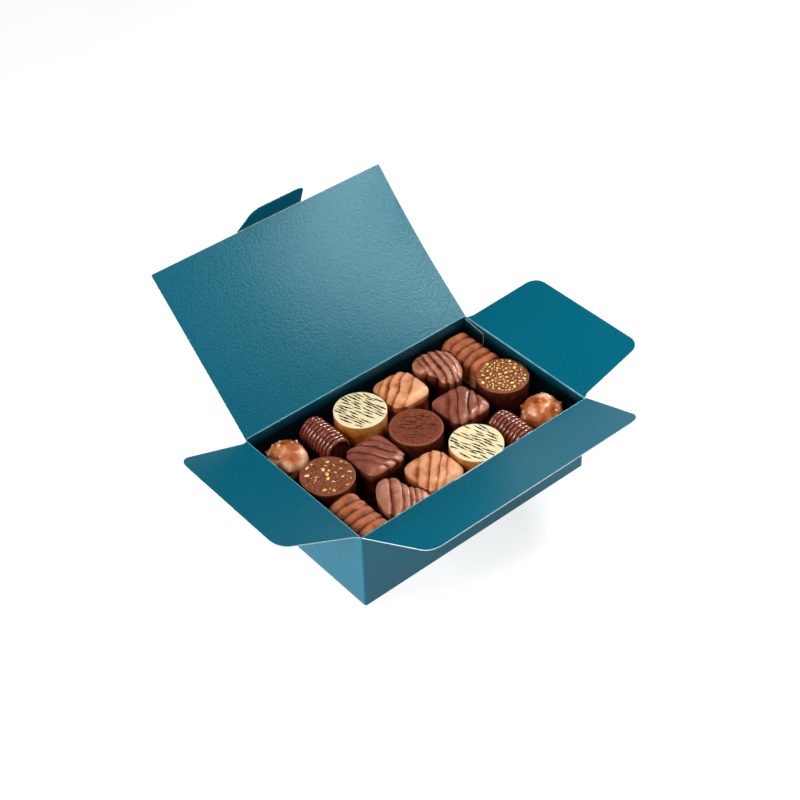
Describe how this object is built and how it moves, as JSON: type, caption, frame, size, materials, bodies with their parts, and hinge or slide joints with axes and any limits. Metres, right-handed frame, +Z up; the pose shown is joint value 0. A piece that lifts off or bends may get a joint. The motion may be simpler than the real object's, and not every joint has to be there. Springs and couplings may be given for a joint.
{
  "type": "box of chocolate pralines",
  "caption": "Open folding carton of chocolate pralines, with a hinged lid, a tuck tongue, a front flap and two side flaps.",
  "frame": {"origin": "underside of the carton, at the middle of its floor", "axes": "+X along the carton's long side, -Y towards its front flap, +Z up"},
  "size_m": [0.2557, 0.2201, 0.1376],
  "materials": {
    "board": "satin",
    "card": "matte",
    "milk_chocolate": "satin",
    "dark_chocolate": "gloss",
    "white_chocolate": "satin"
  },
  "bodies": {
    "box": {"carton": "board", "layer_support": "card", "nut_ball_left": "milk_chocolate", "ridged_log_left": "dark_chocolate", "white_round_left": "white_chocolate", "milk_square_back": "milk_chocolate", "drop_back": "dark_chocolate", "striped_log_back": "milk_chocolate", "specked_round_left": "dark_chocolate", "dark_square_left": "dark_chocolate", "plain_round": "dark_chocolate", "dark_square_right": "dark_chocolate", "specked_round_right": "dark_chocolate", "striped_log_front": "milk_chocolate", "drop_front": "dark_chocolate", "milk_square_front": "milk_chocolate", "white_round_right": "white_chocolate", "ridged_log_right": "dark_chocolate", "nut_ball_right": "milk_chocolate"},
    "lid": {"lid": "board"},
    "tongue": {"tongue": "board"},
    "front_flap": {"front_flap": "board"},
    "left_flap": {"left_flap": "board"},
    "right_flap": {"right_flap": "board"}
  },
  "joints": [
    {"name": "lid_crease", "type": "hinge", "parent": "box", "child": "lid", "pos_m": [0, 0.04925, 0.05045], "axis": [1, 0, 0], "range_deg": [-43.5, 133.8]},
    {"name": "front_crease", "type": "hinge", "parent": "box", "child": "front_flap", "pos_m": [0, -0.04925, 0.05045], "axis": [-1, 0, 0], "range_deg": [-50.3, 154.5]},
    {"name": "left_crease", "type": "hinge", "parent": "box", "child": "left_flap", "pos_m": [-0.07975, 0, 0.04965], "axis": [0, 1, 0], "range_deg": [-51.5, 156.5]},
    {"name": "right_crease", "type": "hinge", "parent": "box", "child": "right_flap", "pos_m": [0.07975, 0, 0.04965], "axis": [0, -1, 0], "range_deg": [-36.5, 171.5]},
    {"name": "tongue_crease", "type": "hinge", "parent": "lid", "child": "tongue", "pos_m": [0, 0.12496, 0.1191], "axis": [1, 0, 0], "range_deg": [-79, 14]}
  ],
  "couplings": [
    {"joint": "front_crease", "follows": "lid_crease", "ratio": 1.1547}
  ]
}
